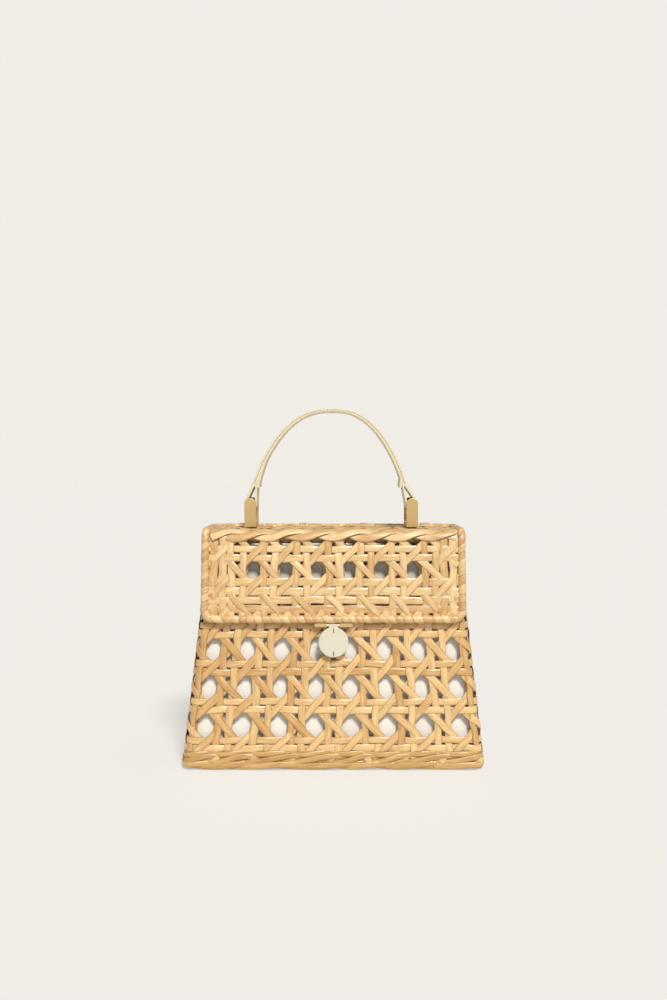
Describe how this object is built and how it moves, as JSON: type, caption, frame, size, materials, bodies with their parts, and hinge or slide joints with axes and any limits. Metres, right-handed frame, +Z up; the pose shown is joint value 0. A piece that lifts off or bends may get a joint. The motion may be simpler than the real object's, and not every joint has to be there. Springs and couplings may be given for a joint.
{
  "type": "crossbody bag",
  "caption": "Small tapered bag of open woven cane with a flap over the top, an arched leather handle held in metal forks and a round magnetic clasp.",
  "frame": {"origin": "middle of the base on the surface the bag stands on", "axes": "+Z up, the flap's front faces -Y, +X to the right seen from the front"},
  "size_m": [0.257, 0.115, 0.3053],
  "materials": {
    "woven_cane": "glossy natural peel",
    "cane_rod": "smooth",
    "binding_cane": "glossy natural peel",
    "lining_cloth": "plain cotton",
    "strap_leather": "smooth",
    "fitting_brass": "satin",
    "disc_brass": "pale satin",
    "small_steel": "satin"
  },
  "bodies": {
    "body": {"front_weave": "woven_cane", "back_weave": "woven_cane", "left_side_weave": "woven_cane", "right_side_weave": "woven_cane", "base_band": "binding_cane", "base_weave": "woven_cane", "base_frame": "cane_rod", "left_front_post": "cane_rod", "left_back_post": "cane_rod", "right_front_post": "cane_rod", "right_back_post": "cane_rod", "top_rim": "cane_rod", "lining": "lining_cloth", "hinge_lashing_1": "binding_cane", "hinge_lashing_2": "binding_cane", "hinge_lashing_3": "binding_cane", "hinge_lashing_4": "binding_cane", "strike_plate": "small_steel", "strike_rivet": "small_steel", "strike_washer": "small_steel"},
    "flap": {"flap_rear_rod": "cane_rod", "flap_left_rim": "cane_rod", "flap_right_rim": "cane_rod", "flap_lower_rim": "cane_rod", "flap_top_weave": "woven_cane", "flap_front_weave": "woven_cane", "handle_strap": "strap_leather", "handle_lining": "strap_leather", "left_fork": "fitting_brass", "right_fork": "fitting_brass", "left_fork_pin": "small_steel", "right_fork_pin": "small_steel", "left_loop_liner": "strap_leather", "right_loop_liner": "strap_leather", "left_backing_plate": "small_steel", "right_backing_plate": "small_steel", "left_fork_screws": "small_steel", "right_fork_screws": "small_steel", "clasp_hanger": "fitting_brass", "clasp_pin": "small_steel", "hanger_screws": "small_steel"},
    "clasp": {"clasp_disc": "disc_brass", "clasp_magnet": "small_steel"}
  },
  "joints": [
    {"name": "flap_hinge", "type": "hinge", "parent": "body", "child": "flap", "pos_m": [0, 0.03089, 0.1998], "axis": [-1, 0, 0], "range_deg": [0, 180]},
    {"name": "clasp_swing", "type": "hinge", "parent": "flap", "child": "clasp", "pos_m": [0, -0.04735, 0.12103], "axis": [-1, 0, 0], "range_deg": [0, 85]}
  ]
}
